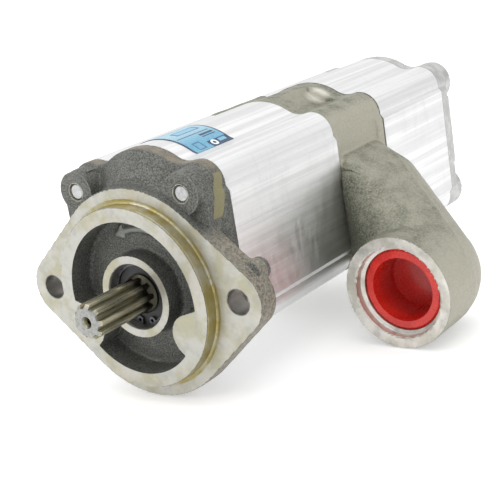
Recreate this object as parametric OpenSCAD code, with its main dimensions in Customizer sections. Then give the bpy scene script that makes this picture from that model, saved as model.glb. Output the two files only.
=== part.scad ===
// Tandem external gear pump with a common suction elbow between its two sections.
// The mounting face is the plane y = 0. The drive shaft turns on the Y axis and points
// to -Y, the sections stack up towards +Y, the elbow is on the +X side, +Z is up.

/* [Mounting flange] */
// Diameter of the round pilot
pilot_d = 82.55; // [70:0.05:100]
// Height of the pilot in front of the mounting face
pilot_h = 6.35; // [4:0.05:9]
// Radial wall of the pilot ring round the cast recess
pilot_wall = 6.5; // [4:0.5:10]
// Distance between the two flange bolt holes
flange_span = 106.4; // [96:0.1:130]
// Diameter of the flange bolt holes
flange_hole_d = 11.1; // [8:0.1:14]
// Thickness of the flange ears
flange_t = 11; // [8:0.5:16]
// Radius of the round part of the flange
flange_r = 48; // [44:0.5:56]
// Radius of the end of each flange ear
ear_r = 15; // [12:0.5:18]
// Depth of the front cover behind the mounting face
cover_len = 20; // [18:0.5:26]
// Depth of the cast recess floor behind the mounting face
recess_depth = 6; // [2:0.5:8]
// How far the upper bolt lugs stand back from the mounting face
lug_setback = 2.8; // [1:0.1:5]

/* [Shaft] */
// Outside diameter of the shaft spline
spline_d = 15.875; // [14:0.025:19]
// Number of spline teeth
spline_teeth = 9; // [9:1:11]
// How far the shaft end stands in front of the mounting face
shaft_reach = 35; // [28:0.5:45]
// Diameter of the shaft under the lip seal
seal_land_d = 18; // [17:0.1:19]
// Diameter of the journals of all four gears
journal_d = 19; // [17:0.1:20]
// Outside diameter of the lip seal
seal_d = 29; // [28:0.1:32]
// Width of the lip seal
seal_w = 7; // [5:0.5:8]
// Radial wall of the boss round the seal
seal_boss_wall = 4.2; // [3:0.1:5.5]
// How far the seal boss stands in front of the mounting face
seal_boss_h = 3.8; // [2:0.1:6]

/* [Gears] */
// Teeth on every gear
gear_teeth = 12; // [12:2:14]
// Gear module
gear_module = 2.5; // [2:0.05:3]
// Pressure angle of the teeth
pressure_angle = 25; // [25:0.5:27]
// Backlash at the pitch circle
backlash = 0.16; // [0.1:0.01:0.3]
// Length of each bearing block along the shaft
block_len = 20; // [16:0.5:25]
// Radial wall of the plain bushes
bush_wall = 1.5; // [1:0.1:1.8]

/* [Housing] */
// Length of the front pump body
front_len = 86; // [70:1:105]
// Length of the common inlet housing between the bodies
inlet_len = 44.5; // [42:0.5:55]
// Length of the rear pump body
rear_len = 64; // [58:1:80]
// Metal between a gear bore and the top of the dome
dome_wall = 14.3; // [12:0.1:18]
// Metal between a gear bore and the axis of the through bolts
bolt_wall = 12.5; // [12:0.1:18]
// Height of a bolt axis outside the gear axis next to it
bolt_drop = 15; // [12:0.5:20]
// Radius of the rounded corner round each through bolt
lobe_r = 10.8; // [9:0.1:11]
// From a bolt axis to the flat side of the housing
side_wall = 12.4; // [11.4:0.1:15]
// Radius of the hollow fillet between dome and corner
valley_r = 12; // [8:0.5:16]
// Drop of the side's top edge below the upper bolt axis
shoulder_drop = 3.2; // [2:0.1:5]

/* [Suction elbow] */
// Distance of the port axis from the flat side of the housing
port_side = 39.6; // [34:0.1:60]
// Height of the port axis from the drive shaft axis
port_z = -22; // [-34:0.5:-10]
// How far the port face stands in front of the inlet housing
port_reach = 29; // [24:0.5:60]
// Outside radius of the port tube
port_r = 26.4; // [25:0.1:30]
// Radius of the smooth socket at the port mouth
port_mouth_r = 21.2; // [20.8:0.1:22]
// Depth of the smooth socket at the port mouth
port_mouth_depth = 4.5; // [3:0.1:6]
// Radius of the threaded part of the port
port_thread_r = 19.5; // [17:0.1:20.3]
// Length of the threaded part of the port
port_thread_len = 20; // [18:0.5:22]

/* [Outlet ports] */
// Radius of the smooth seat at the outlet mouth
outlet_mouth_r = 12.6; // [11.5:0.1:14]
// Depth of the smooth seat at the outlet mouth
outlet_mouth_depth = 2.6; // [2:0.1:4]
// Radius of the threaded part of the outlets
outlet_thread_r = 10.2; // [8:0.1:11]
// Length of the threaded part of the outlets
outlet_thread_len = 15; // [12:0.5:17]

/* [End cover] */
// Thickness of the end cover plate
end_plate_t = 8; // [7:0.5:12]
// Thickness of the end cover at its corner bosses
end_boss_t = 14.5; // [14:0.5:20]
// Height of the raised pad above the plate
end_pad_h = 10.5; // [8:0.5:14]
// Width of the raised pad
end_pad_w = 74; // [60:1:78]
// Height of the raised pad across the gears
end_pad_z = 38; // [30:1:40]

/* [Fasteners] */
// Thread diameter of the four through bolts
bolt_d = 8; // [7:0.1:9]
// Clearance of the bolts in the bodies, on the radius
bolt_clear = 0.3; // [0.2:0.05:0.5]
// Diameter of the dowel pins
dowel_d = 6; // [4:0.1:7]
// Length of the dowel pins
dowel_len = 9; // [6:0.5:10]

/* [Label] */
// Length of the label along the pump
label_len = 27; // [20:1:40]
// Distance of the label behind the front cover
label_gap = 9.3; // [5:0.1:20]
// Thickness of the label
label_t = 0.25; // [0.1:0.05:0.4]

/* [Hidden] */
$fn = 96;
// clearances
run_clear = 0.04;      // running fits, on the radius
side_clear = 0.05;     // each side face of a gear
tip_clear = 0.06;      // gear tips in the body bores
spline_clear = 0.12;   // coupling sleeve over the shaft splines
seat_gap = 0.4;        // a plug behind the smooth port mouth
eps = 0.01;
cut = 1;               // overrun of cutting tools

// gears
centre_z = gear_module * gear_teeth;
pitch_r = centre_z / 2;
tip_r = pitch_r + gear_module;
root_r = pitch_r - 1.25 * gear_module;
base_r = pitch_r * cos(pressure_angle);
bore_r = tip_r + tip_clear;
journal_r = journal_d / 2;
bush_r = journal_r + run_clear + bush_wall;
tooth_step = 360 / gear_teeth;

// spline
spline_r = spline_d / 2;
spline_depth = 1.75;
spline_root_r = spline_r - spline_depth;

// joints between the castings and the bodies
y_cover = cover_len;
y_front = y_cover + front_len;
y_inlet = y_front + inlet_len;
y_rear = y_inlet + rear_len;
y_end = y_rear + end_boss_t;

// housing outline
mid_z = centre_z / 2;
dome_r = bore_r + dome_wall;
bolt_x = bore_r + bolt_wall;
bolt_zs = [-bolt_drop, centre_z + bolt_drop];
side_x = bolt_x + side_wall;
shoulder_in = 2.2;

// cover
pilot_r = pilot_d / 2;
recess_r = pilot_r - pilot_wall;
ear_x = flange_span / 2 - 3.2;
seal_r = seal_d / 2;
boss_r = seal_r + seal_boss_wall;
pad_r = 10;
rim_y = cover_len - 6.5;
lug_r = 9.6;
crown_inset = 1.5;
crown_y = 6;
knob_at = [ear_x + 7.4, 10.8];
knob_r = 5;
seal_y = 1.5;
ring_t = 1.2;
ring_y = seal_y - ring_t;
ring_depth = 0.9;

// elbow
port_x = side_x + port_side;
port_y = y_front - port_reach;
inlet_y = y_front + inlet_len / 2;
elbow_y = port_y + 26.3;
heel_r = port_r - 0.4;
fore_rim = 2;
aft_rim = 6;
root_top = mid_z + 18;
root_low = mid_z - 35;
throat = [side_x + 2, inlet_y - 1, mid_z - 10];
chamber_r = 15;        // passage from the elbow to the gears
shaft_way_r = 13.4;
gallery_r = 6.5;
gallery_x = bore_r - 0.8;

// section seals
groove_r = bore_r + 9.4;
groove_w = 2.4;
cord_d = 2;
dowel_at = [[bore_r + 17.4, centre_z], [-bore_r - 17.4, 0]];
dowel_r = dowel_d / 2;

// pressure seals in the bearing blocks
ps_r = bush_r + 2.6;
ps_w = 2;
ps_t = 1.8;
strip_t = 0.6;

// outlet ports
outlet_ys = [y_cover + front_len / 2, y_inlet + rear_len / 2];
outlet_way_r = 7;

// through bolts
bolt_r = bolt_d / 2;
head_r = 6.5;
head_h = 8;
washer_t = 2;
sink_r = head_r + 0.45;
head_y = y_end - head_h - 0.4;
seat_y = head_y - washer_t;
bolt_tip_y = lug_setback + 0.6;
key_af = 6;

// coupling
sleeve_gap = 1.5;
coupling_r = 12;
stub_len = 19;

// ---------------------------------------------------------------- helpers

// extrudes a shape drawn in (x, z), seen from the front, from y0 to y1
module slab(y0, y1) {
    translate([0, y1, 0]) rotate([90, 0, 0]) linear_extrude(y1 - y0) children();
}

// round bar along Y
module rod(x, z, r, y0, y1) {
    translate([x, y1, z]) rotate([90, 0, 0]) cylinder(r = r, h = y1 - y0);
}

// cone along Y: radius r0 at y0, r1 at y1
module taper(x, z, r0, y0, r1, y1) {
    translate([x, y1, z]) rotate([90, 0, 0]) cylinder(r1 = r1, r2 = r0, h = y1 - y0);
}

// ring along Y
module tube(x, z, r_out, r_in, y0, y1) {
    difference() {
        rod(x, z, r_out, y0, y1);
        rod(x, z, r_in, y0 - cut, y1 + cut);
    }
}

// turned body about Y through (0, z): points are [radius, y]
module turned(z, pts) {
    translate([0, 0, z]) rotate([-90, 0, 0]) rotate_extrude() polygon(pts);
}

// places children at the four bolts
module at_bolts() {
    for (sx = [-1, 1], z = bolt_zs) translate([sx * bolt_x, 0, z]) children();
}

function polar(r, a) = [r * cos(a), r * sin(a)];
function deg_inv(a) = tan(a) * 180 / PI - a;

// upper crossing point of two circles
function meet(a, b, ra, rb) =
    let (d = norm(b - a), u = (b - a) / d, s = (d * d + ra * ra - rb * rb) / (2 * d),
         h = sqrt(ra * ra - s * s))
    a + u * s + [-u[1], u[0]] * h;

// ---------------------------------------------------------------- housing outline

// flat sides with their small shoulders
module side_block(half_w) {
    lo = bolt_zs[0];
    hi = bolt_zs[1];
    polygon([
        [half_w, lo + shoulder_drop], [half_w, hi - shoulder_drop], [half_w - shoulder_in, hi],
        [shoulder_in - half_w, hi], [-half_w, hi - shoulder_drop], [-half_w, lo + shoulder_drop],
        [shoulder_in - half_w, lo], [half_w - shoulder_in, lo]
    ]);
}

// hollow fillet between the upper dome and the right upper corner
module valley(r_dome, r_lobe) {
    dome = [0, centre_z];
    lobe = [bolt_x, bolt_zs[1]];
    mid = meet(dome, lobe, r_dome + valley_r, r_lobe + valley_r);
    difference() {
        polygon([dome, lobe, mid]);
        translate(mid) circle(valley_r);
    }
}

module housing_outline(r_dome = dome_r, r_lobe = lobe_r, half_w = side_x) {
    for (z = [0, centre_z]) translate([0, z]) circle(r_dome);
    for (sx = [-1, 1], z = bolt_zs) translate([sx * bolt_x, z]) circle(r_lobe);
    side_block(half_w);
    for (sx = [0, 1], sz = [0, 1])
        translate([0, sz * centre_z]) mirror([0, sz]) mirror([sx, 0]) valley(r_dome, r_lobe);
}

// shape of the two meshing gear bores
module twin_bore(r) {
    for (z = [0, centre_z]) translate([0, z]) circle(r);
}

// closed loop round both gears
module loop(r) {
    for (z = [0, centre_z]) translate([0, z]) circle(r);
    translate([-r, 0]) square([2 * r, centre_z]);
}

module loop_groove(y0, y1) {
    slab(y0, y1) difference() {
        loop(groove_r + groove_w / 2);
        loop(groove_r - groove_w / 2);
    }
}

// round cord that fills a loop groove, centred on the plane y
module loop_cord(y) {
    for (k = [0, 1])
        translate([0, y, k * centre_z]) rotate([90, 0, 0]) rotate([0, 0, k == 1 ? 0 : 180])
            rotate_extrude(angle = 180) translate([groove_r, 0]) circle(cord_d / 2);
    for (sx = [-1, 1]) translate([sx * groove_r, y, 0]) cylinder(d = cord_d, h = centre_z);
}

module dowel_holes(y0, y1) {
    for (p = dowel_at) rod(p[0], p[1], dowel_r, y0, y1);
}

module dowels(y) {
    color("silver") for (p = dowel_at) rod(p[0], p[1], dowel_r, y - dowel_len / 2, y + dowel_len / 2);
}

module bolt_holes(y0, y1) {
    at_bolts() rod(0, 0, bolt_r + bolt_clear, y0, y1);
}

// ---------------------------------------------------------------- front cover

module flange_outline() {
    a = acos((flange_r - ear_r) / ear_x);
    circle(flange_r);
    for (sx = [-1, 1]) translate([sx * ear_x, 0]) circle(ear_r);
    for (sx = [0, 1]) mirror([sx, 0])
        polygon([polar(flange_r - 0.02, a), [ear_x, 0] + polar(ear_r - 0.02, a),
                 [ear_x, 0] + polar(ear_r - 0.02, -a), polar(flange_r - 0.02, -a)]);
}

// flush pads over the lower bolts, which leave the rest of the recess open
module recess_outline() {
    difference() {
        circle(recess_r);
        for (sx = [0, 1]) mirror([sx, 0]) {
            translate([bolt_x, bolt_zs[0]]) circle(pad_r);
            polygon([[bolt_x - 2.5, bolt_zs[0] + pad_r - 0.3], [recess_r + 2, bolt_zs[0] + pad_r + 2.6],
                     [recess_r + 4, bolt_zs[0]], [bolt_x, bolt_zs[0] - pad_r - 1],
                     [bolt_x, bolt_zs[0]]]);
        }
    }
}

// the cast face of the crown leans back from the flange to the rim
module crown_slope() {
    difference() {
        turned(centre_z, [
            [dome_r - 12, crown_y - cut], [dome_r + 2, crown_y - cut],
            [dome_r + 2, rim_y - 0.5], [dome_r - crown_inset + 0.4, rim_y - 0.5]
        ]);
        translate([-flange_r, 0, -flange_r]) cube([2 * flange_r, cover_len, flange_r + 36]);
    }
}

// raised arrow on the recess floor that shows the way the shaft turns
module turn_arrow() {
    arrow_r = (recess_r + boss_r) / 2 + 1.2;
    slab(recess_depth - 1.2, recess_depth + eps) {
        intersection() {
            difference() {
                circle(arrow_r + 1.1);
                circle(arrow_r - 1.1);
            }
            polygon([[0, 0], polar(2 * arrow_r, 50), polar(2 * arrow_r, 108)]);
        }
        polygon([polar(arrow_r + 3.6, 106), polar(arrow_r + 0.6, 120), polar(arrow_r - 3.6, 106),
                 polar(arrow_r - 0.6, 109)]);
    }
}

module front_cover() {
    color("dimgray") difference() {
        union() {
            slab(0, flange_t) flange_outline();
            slab(rim_y, cover_len) housing_outline();
            difference() {
                slab(crown_y, rim_y + eps)
                    housing_outline(dome_r - crown_inset, lug_r, side_x - crown_inset);
                crown_slope();
            }
            for (sx = [-1, 1]) rod(sx * bolt_x, bolt_zs[1], lug_r - 0.4, lug_setback, rim_y + 1);
            rod(knob_at[0], knob_at[1], knob_r, 6, flange_t + 3);
            rod(0, 0, pilot_r, 0.5 - pilot_h, 1);
            taper(0, 0, pilot_r - 0.5, -pilot_h, pilot_r, 0.5 - pilot_h);
        }
        slab(-pilot_h - cut, recess_depth) difference() {
            recess_outline();
            circle(boss_r);
        }
        slab(-pilot_h - cut, -seal_boss_h) circle(boss_r + eps);
        tube(0, 0, pilot_r + 1.9, pilot_r + 0.7, -cut, 0.5);
        rod(0, 0, seal_r, -seal_boss_h - cut, seal_y + seal_w);
        taper(0, 0, seal_r + 0.8, -seal_boss_h, seal_r, -seal_boss_h + 0.8);
        rod(0, 0, seal_r + ring_depth, ring_y, seal_y);
        rod(0, 0, journal_r + 1.2, seal_y, cover_len + cut);
        for (sx = [-1, 1]) rod(sx * flange_span / 2, 0, flange_hole_d / 2, -cut, flange_t + cut);
        for (sx = [-1, 1]) {
            rod(sx * bolt_x, bolt_zs[1], bolt_r, 0, cover_len + cut);
            rod(sx * bolt_x, bolt_zs[0], bolt_r, bolt_tip_y - 1.5, cover_len + cut);
        }
        loop_groove(cover_len - cord_d, cover_len + cut);
        dowel_holes(cover_len - dowel_len / 2, cover_len + cut);
    }
    color("dimgray") turn_arrow();
}

module seal_snap_ring() {
    lug_a = 16;
    color("darkslategray") slab(ring_y, seal_y - eps) difference() {
        union() {
            difference() {
                circle(seal_r + ring_depth - 0.05);
                circle(seal_r - 1.4);
            }
            for (s = [-1, 1]) translate(polar(seal_r - 1.6, -90 + s * lug_a)) circle(1.9);
        }
        polygon([[0, 0], polar(2 * seal_r, -90 - lug_a + 7), polar(2 * seal_r, -90 + lug_a - 7)]);
        for (s = [-1, 1]) translate(polar(seal_r - 1.8, -90 + s * lug_a)) circle(0.8);
    }
}

module shaft_seal() {
    lip_r = seal_land_d / 2 + run_clear;
    y0 = seal_y;
    y1 = seal_y + seal_w;
    color("black") turned(0, [
        [seal_r, y0], [seal_r, y1], [seal_r - 1.2, y1], [seal_r - 1.2, y0 + 1.4],
        [lip_r + 1.7, y0 + 1.4], [lip_r + 1.9, y1 - 1.2], [lip_r + 0.9, y1 - 1.0], [lip_r, y1 - 2.2],
        [lip_r + 0.6, y0 + 1.0], [lip_r, y0 + 0.5], [lip_r, y0]
    ]);
}

module seal_spring() {
    lip_r = seal_land_d / 2 + run_clear;
    color("silver") translate([0, seal_y + seal_w - 2.4, 0]) rotate([90, 0, 0])
        rotate_extrude() translate([lip_r + 2.6, 0]) circle(0.6);
}

// ---------------------------------------------------------------- gears and shafts

// one flank of a tooth: n points from the base circle to the tip
function flank(side, n = 4) =
    let (half = 90 / gear_teeth - (backlash / 2) / pitch_r * 180 / PI + deg_inv(pressure_angle))
    [for (i = [0:n]) let (r = base_r + (tip_r - base_r) * i / n, a = acos(base_r / r))
        polar(r, side * (half - deg_inv(a)))];

function turn2(p, a) = [p[0] * cos(a) - p[1] * sin(a), p[0] * sin(a) + p[1] * cos(a)];
function backwards(v) = [for (i = [len(v) - 1:-1:0]) v[i]];

function tooth() =
    let (up = flank(1), low = flank(-1), foot = atan2(up[0][1], up[0][0]))
    concat([polar(root_r, -foot)], low, backwards(up), [polar(root_r, foot)]);

// gear shape with one tooth centred on the angle given
module gear_outline(first) {
    polygon([for (k = [0:gear_teeth - 1]) for (p = tooth()) turn2(p, first + k * tooth_step)]);
}

module spline_outline(grow = 0) {
    step = 360 / spline_teeth;
    foot = spline_root_r - 1;
    head = spline_r + 0.4;
    wide = step * 0.42 + grow * 4;
    slim = step * 0.17 + grow * 4;
    intersection() {
        circle(spline_r + grow);
        union() {
            circle(spline_root_r + grow);
            for (k = [0:spline_teeth - 1])
                polygon([polar(foot, k * step - wide), polar(head + grow, k * step - slim),
                         polar(head + grow, k * step + slim), polar(foot, k * step + wide)]);
        }
    }
}

module gear_rim(z, first, g0, g1) {
    slab(g0, g1) translate([0, z]) gear_outline(first);
}

module journals(z, y0, y1) {
    turned(z, [[0, y0], [journal_r - 0.8, y0], [journal_r, y0 + 0.8],
               [journal_r, y1 - 0.8], [journal_r - 0.8, y1], [0, y1]]);
}

module drive_shaft() {
    land_r = seal_land_d / 2;
    color("darkkhaki") difference() {
        union() {
            gear_rim(0, 90, y_cover + block_len + side_clear, y_front - block_len - side_clear);
            turned(0, [[0, -2], [spline_root_r - 0.3, -2], [land_r, 0.2], [land_r, y_cover - 4],
                       [journal_r, y_cover - 3.4], [journal_r, y_front - 1.8],
                       [journal_r - 0.8, y_front - 1], [0, y_front - 1]]);
            intersection() {
                slab(-shaft_reach, 0) spline_outline();
                turned(0, [[0, -shaft_reach - cut], [spline_root_r, -shaft_reach - cut],
                           [spline_root_r + 0.4, -shaft_reach], [spline_r + 0.1, 1.4 - shaft_reach],
                           [spline_r + 0.1, cut], [0, cut]]);
            }
            slab(y_front - 3, y_front + stub_len) spline_outline();
        }
        rod(0, 0, 1.6, -shaft_reach - cut, -shaft_reach + 7);
        taper(0, 0, 2.7, -shaft_reach - eps, 1.6, -shaft_reach + 2);
    }
}

module front_idler_gear() {
    color("darkkhaki") {
        gear_rim(centre_z, -90 + tooth_step / 2, y_cover + block_len + side_clear, y_front - block_len - side_clear);
        journals(centre_z, y_cover + 0.4, y_front - 0.4);
    }
}

module rear_drive_gear() {
    color("darkkhaki") {
        gear_rim(0, 90, y_inlet + block_len + side_clear, y_rear - block_len - side_clear);
        journals(0, y_inlet + 1, y_rear - 0.4);
        slab(y_inlet - stub_len, y_inlet + 3) spline_outline();
    }
}

module rear_idler_gear() {
    color("darkkhaki") {
        gear_rim(centre_z, -90 + tooth_step / 2, y_inlet + block_len + side_clear, y_rear - block_len - side_clear);
        journals(centre_z, y_inlet + 0.4, y_rear - 0.4);
    }
}

module coupling_sleeve() {
    color("slategray") difference() {
        rod(0, 0, coupling_r, y_front + sleeve_gap, y_inlet - sleeve_gap);
        slab(y_front, y_inlet) spline_outline(spline_clear);
        taper(0, 0, spline_r + 1.2, y_front + sleeve_gap - eps, spline_r, y_front + sleeve_gap + 1.2);
        taper(0, 0, spline_r, y_inlet - sleeve_gap - 1.2, spline_r + 1.2, y_inlet - sleeve_gap + eps);
    }
}

// ---------------------------------------------------------------- bearing blocks

// three-shaped path of a pressure seal on the delivery side
module three_shape(w) {
    difference() {
        union() {
            for (z = [0, centre_z]) translate([0, z]) circle(ps_r + w / 2);
            translate([-w - 1, mid_z - 4]) square([w + 2, 8]);
        }
        for (z = [0, centre_z]) translate([0, z]) circle(ps_r - w / 2);
        translate([1, -tip_r]) square([tip_r, centre_z + 2 * tip_r]);
    }
}

// out is the outer face of the block, in the gear side face
module block(out, in) {
    s = sign(in - out);
    lo = min(out, in);
    hi = max(out, in);
    color("silver") difference() {
        slab(lo, hi) twin_bore(tip_r);
        for (z = [0, centre_z]) rod(0, z, bush_r, lo - cut, hi + cut);
        slab(min(out - s * cut, out + s * (ps_t + strip_t)), max(out - s * cut, out + s * (ps_t + strip_t)))
            three_shape(ps_w);
        for (sx = [-1, 1]) rod(sx * (tip_r * 0.36), mid_z, 2.4, min(in - s * 1.6, in + s), max(in - s * 1.6, in + s));
    }
}

module pressure_seal(out, s) {
    color("black") slab(min(out, out + s * ps_t), max(out, out + s * ps_t)) three_shape(ps_w);
}

module backup_strip(out, s) {
    a = out + s * ps_t;
    b = out + s * (ps_t + strip_t);
    color("ivory") slab(min(a, b), max(a, b)) three_shape(ps_w);
}

module bush(z, y0, y1) {
    color("peru") difference() {
        tube(0, z, bush_r, journal_r + run_clear, y0, y1);
        translate([0, y0 - cut, z + journal_r]) cube([0.3, y1 - y0 + 2 * cut, bush_wall * 3]);
    }
}

// bushes 1 and 2 are in the fore block, 3 and 4 in the aft block
module section_bush(k, y0, y1) {
    z = k % 2 == 1 ? 0 : centre_z;
    if (k < 3) bush(z, y0 + ps_t + strip_t + 0.4, y0 + block_len);
    else bush(z, y1 - block_len, y1 - ps_t - strip_t - 0.4);
}

// ---------------------------------------------------------------- bodies

module pump_body(y0, y1, outlet_y, gallery_end) {
    color("gainsboro") difference() {
        slab(y0, y1) housing_outline();
        slab(y0 - cut, y1 + cut) twin_bore(bore_r);
        bolt_holes(y0 - cut, y1 + cut);
        dowel_holes(y0 - cut, y0 + dowel_len / 2);
        dowel_holes(y1 - dowel_len / 2, y1 + cut);
        // suction gallery from the inlet housing to the gears
        rod(gallery_x, mid_z, gallery_r, min(outlet_y - 8, gallery_end), max(outlet_y + 8, gallery_end));
        // outlet port
        translate([-side_x - cut, outlet_y, mid_z]) rotate([0, 90, 0]) {
            cylinder(r = outlet_mouth_r, h = outlet_mouth_depth + cut);
            cylinder(r = outlet_thread_r, h = outlet_mouth_depth + outlet_thread_len + cut);
            cylinder(r = outlet_way_r, h = side_x + cut - bore_r * 0.4);
        }
    }
}

module front_body() {
    pump_body(y_cover, y_front, outlet_ys[0], y_front + cut);
}

module rear_body() {
    pump_body(y_inlet, y_rear, outlet_ys[1], y_inlet - cut);
}

// shipping plug in an outlet port
module outlet_plug(y) {
    x0 = -side_x + outlet_mouth_depth + seat_gap;
    plug_len = outlet_thread_len - 3;
    color("firebrick") translate([x0, y, mid_z]) rotate([0, 90, 0]) difference() {
        cylinder(r = outlet_thread_r - 0.1, h = plug_len);
        translate([0, 0, -cut]) cylinder(r = outlet_thread_r - 2.2, h = plug_len - 1.5 + cut);
    }
}

// label bent over the dome and down into the valleys beside it
module rating_label() {
    dome = [0, centre_z];
    lobe = [bolt_x, bolt_zs[1]];
    mid = meet(dome, lobe, dome_r + valley_r, lobe_r + valley_r);
    edge = (mid - dome) * dome_r / (dome_r + valley_r);
    low = mid + polar(valley_r, atan2(edge[1] + centre_z - mid[1], edge[0] - mid[0]) + 17);
    y0 = y_cover + label_gap;
    color("deepskyblue") slab(y0, y0 + label_len) {
        intersection() {
            translate(dome) difference() {
                circle(dome_r + label_t);
                circle(dome_r);
            }
            polygon([dome, dome + edge * 1.2, dome + [0, 2 * dome_r], dome + [-edge[0], edge[1]] * 1.2]);
        }
        for (sx = [0, 1]) mirror([sx, 0]) intersection() {
            translate(mid) difference() {
                circle(valley_r);
                circle(valley_r - label_t);
            }
            polygon([mid, dome + edge + (dome + edge - mid) * 0.2, low + (low - mid) * 0.2]);
        }
    }
}

// ---------------------------------------------------------------- inlet housing

// round bar between two points
module bar(a, b, r) {
    d = b - a;
    translate(a) rotate([0, acos(d[2] / norm(d)), atan2(d[1], d[0])]) cylinder(r = r, h = norm(d));
}

// corner of the neck's root: a short bar along X that ends at x
module root_corner(x, y, z, r) {
    translate([side_x - 3, y, z]) rotate([0, 90, 0]) cylinder(r = r, h = x - side_x + 3, $fn = 40);
}

// rounded casting between the housing side and the port tube
module elbow_shell() {
    difference() {
        hull() {
            translate([port_x, elbow_y, port_z]) sphere(r = heel_r, $fn = 48);
            root_corner(side_x + 15.7, y_inlet - 14.5, root_top - 23, 14.4);
            root_corner(side_x + 6, y_front + 15, root_top - 17, 14);
            root_corner(side_x + 0.5, y_front + 7, root_top - 6, 6);
            root_corner(side_x + 0.5, y_inlet - 12, root_top - 11, 11);
            root_corner(side_x + 1, y_front + 12, root_low + 10, 10);
            root_corner(side_x + 1, y_inlet - 12, root_low + 10, 10);
        }
        translate([0, y_front - 100, -150]) cube([side_x + 0.4, 100, 300]);
    }
    rod(port_x, port_z, port_r, port_y, elbow_y);
}

// housing outline without the shoulders
module plain_outline() {
    housing_outline(dome_r, lobe_r, bolt_x + lobe_r);
}

module inlet_housing() {
    lo = y_front;
    hi = y_inlet;
    color("darkgray") difference() {
        union() {
            slab(lo, lo + fore_rim) housing_outline();
            slab(lo + fore_rim, hi - aft_rim) plain_outline();
            slab(hi - aft_rim, hi) housing_outline();
            elbow_shell();
        }
        // hollows between the dome and the corners
        for (sx = [-1, 1], sz = [-1, 1])
            rod(sx * (bolt_x - 12), mid_z + sz * (mid_z + 38.5), 16, lo + 12, hi - 9);
        // suction passage: port mouth, thread, bend and the way to the chamber
        rod(port_x, port_z, port_mouth_r, port_y - cut, port_y + port_mouth_depth);
        taper(port_x, port_z, port_mouth_r + 0.8, port_y, port_mouth_r, port_y + 0.8);
        rod(port_x, port_z, port_thread_r, port_y, port_y + port_mouth_depth + port_thread_len);
        bar([port_x, elbow_y, port_z], throat, chamber_r - 1);
        translate(throat) sphere(r = chamber_r);
        bar(throat, [0, inlet_y, mid_z], chamber_r);
        rod(0, 0, shaft_way_r, lo - cut, hi + cut);
        rod(gallery_x, mid_z, gallery_r, lo - cut, hi + cut);
        bolt_holes(lo - cut, hi + cut);
        loop_groove(lo - cut, lo + cord_d);
        loop_groove(hi - cord_d, hi + cut);
        dowel_holes(lo - cut, lo + dowel_len / 2);
        dowel_holes(hi - dowel_len / 2, hi + cut);
    }
}

// red cup plug, pressed into the thread behind the port mouth
module suction_plug() {
    y0 = port_y + port_mouth_depth + seat_gap;
    cup_len = port_thread_len - 1;
    wall = 1.8;
    r = port_thread_r - 0.15;
    color("red") translate([port_x, 0, port_z]) turned(0, [
        [r - wall - 2.4, y0], [r - 1, y0], [r, y0 + 1], [r, y0 + 4], [r - 0.7, y0 + 5], [r - 1.2, y0 + cup_len],
        [0, y0 + cup_len], [0, y0 + cup_len - wall], [r - wall - 3.6, y0 + cup_len - wall],
        [r - wall - 3, y0 + cup_len - wall - 2]
    ]);
}

// ---------------------------------------------------------------- end cover and fasteners

module end_cover() {
    color("gainsboro") difference() {
        union() {
            slab(y_rear, y_rear + end_plate_t) housing_outline(dome_r, lobe_r, side_x - 0.6);
            at_bolts() rod(0, 0, lobe_r, y_rear, y_end);
            translate([-end_pad_w / 2, y_rear, mid_z + 2 - end_pad_z / 2])
                cube([end_pad_w, end_plate_t + end_pad_h, end_pad_z]);
        }
        bolt_holes(y_rear - cut, y_end + cut);
        at_bolts() rod(0, 0, sink_r, seat_y, y_end + cut);
        loop_groove(y_rear - cut, y_rear + cord_d);
        dowel_holes(y_rear - cut, y_rear + dowel_len / 2);
    }
}

module lock_washers() {
    color("gray") at_bolts() tube(0, 0, head_r - 0.3, bolt_r + 0.1, seat_y, seat_y + washer_t);
}

module through_bolts() {
    color("silver") at_bolts() difference() {
        union() {
            taper(0, 0, bolt_r - 0.9, bolt_tip_y, bolt_r, bolt_tip_y + 0.9);
            rod(0, 0, bolt_r, bolt_tip_y + 0.9, head_y + eps);
            rod(0, 0, head_r, head_y, head_y + head_h - 0.5);
            taper(0, 0, head_r, head_y + head_h - 0.5, head_r - 0.5, head_y + head_h);
        }
        slab(head_y + head_h - 4, head_y + head_h + cut) circle(r = key_af / sqrt(3), $fn = 6);
    }
}

// ---------------------------------------------------------------- the assembly

front_cover();
seal_snap_ring();
shaft_seal();
seal_spring();
drive_shaft();
front_idler_gear();
block(y_cover, y_cover + block_len);  // front_block_fore
block(y_front, y_front - block_len);  // front_block_aft
section_bush(1, y_cover, y_front);  // front_bush_1
section_bush(2, y_cover, y_front);  // front_bush_2
section_bush(3, y_cover, y_front);  // front_bush_3
section_bush(4, y_cover, y_front);  // front_bush_4
pressure_seal(y_cover, 1);  // front_pressure_seal_fore
pressure_seal(y_front, -1);  // front_pressure_seal_aft
backup_strip(y_cover, 1);  // front_backup_strip_fore
backup_strip(y_front, -1);  // front_backup_strip_aft
color("black") loop_cord(y_cover - cord_d / 2);  // cover_seal
front_body();
outlet_plug(outlet_ys[0]);  // front_outlet_plug
rating_label();
color("black") loop_cord(y_front + cord_d / 2);  // inlet_front_seal
inlet_housing();
suction_plug();
coupling_sleeve();
color("black") loop_cord(y_inlet - cord_d / 2);  // inlet_rear_seal
rear_drive_gear();
rear_idler_gear();
block(y_inlet, y_inlet + block_len);  // rear_block_fore
block(y_rear, y_rear - block_len);  // rear_block_aft
section_bush(1, y_inlet, y_rear);  // rear_bush_1
section_bush(2, y_inlet, y_rear);  // rear_bush_2
section_bush(3, y_inlet, y_rear);  // rear_bush_3
section_bush(4, y_inlet, y_rear);  // rear_bush_4
pressure_seal(y_inlet, 1);  // rear_pressure_seal_fore
pressure_seal(y_rear, -1);  // rear_pressure_seal_aft
backup_strip(y_inlet, 1);  // rear_backup_strip_fore
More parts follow.
